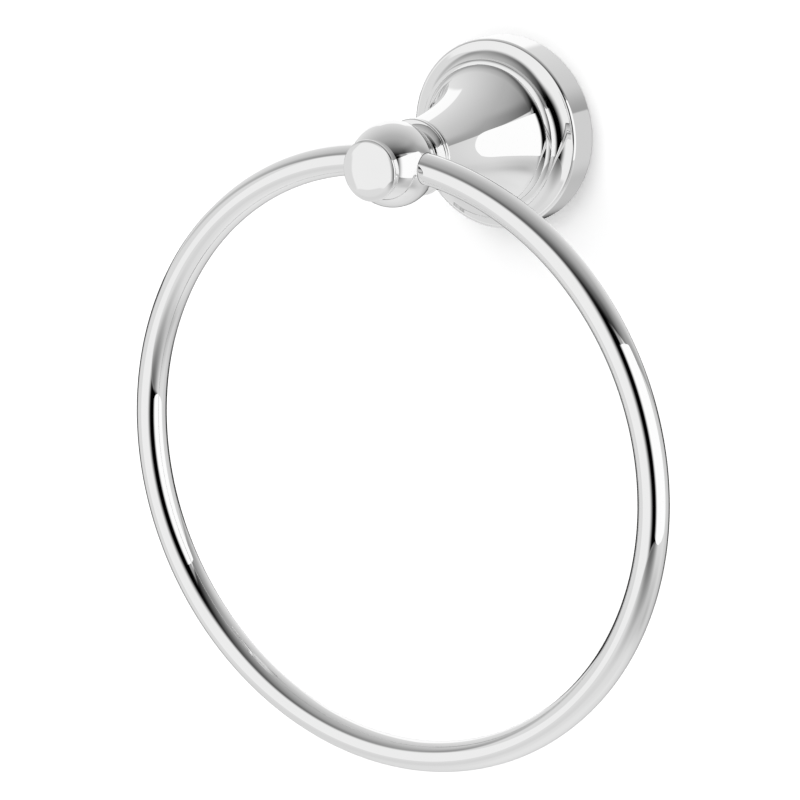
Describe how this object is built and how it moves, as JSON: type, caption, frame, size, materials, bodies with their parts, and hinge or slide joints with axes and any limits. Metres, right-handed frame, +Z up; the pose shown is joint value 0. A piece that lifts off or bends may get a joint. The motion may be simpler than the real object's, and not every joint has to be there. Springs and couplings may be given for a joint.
{
  "type": "towel ring",
  "caption": "Chromed wall towel ring: a round bar ring swings in the ball head of a bell-shaped post on a coved round rose, held by a hidden wall bracket.",
  "frame": {"origin": "centre of the wall face, on the axis of the post", "axes": "+Y points into the wall and -Y out into the room, +Z is up, +X is to the right of a person who faces the wall"},
  "size_m": [0.165, 0.0656, 0.1853],
  "materials": {
    "rose_chrome": "polished chrome plate",
    "post_chrome": "polished chrome plate",
    "head_chrome": "polished chrome plate",
    "ring_chrome": "polished chrome plate",
    "plain_steel": "turned stainless steel",
    "bracket_steel": "turned zinc-plated steel"
  },
  "bodies": {
    "wall_post": {"wall_rose": "rose_chrome", "bell_post": "post_chrome", "ball_head": "head_chrome", "tie_washer": "plain_steel", "tie_screw": "plain_steel", "wall_bracket": "bracket_steel", "grub_screw": "plain_steel"},
    "ring": {"towel_ring": "ring_chrome"}
  },
  "joints": [
    {"name": "ring_swing", "type": "hinge", "parent": "wall_post", "child": "ring", "pos_m": [0, -0.054, 0], "axis": [-1, 0, 0], "range_deg": [-18.5, 198.5]}
  ]
}
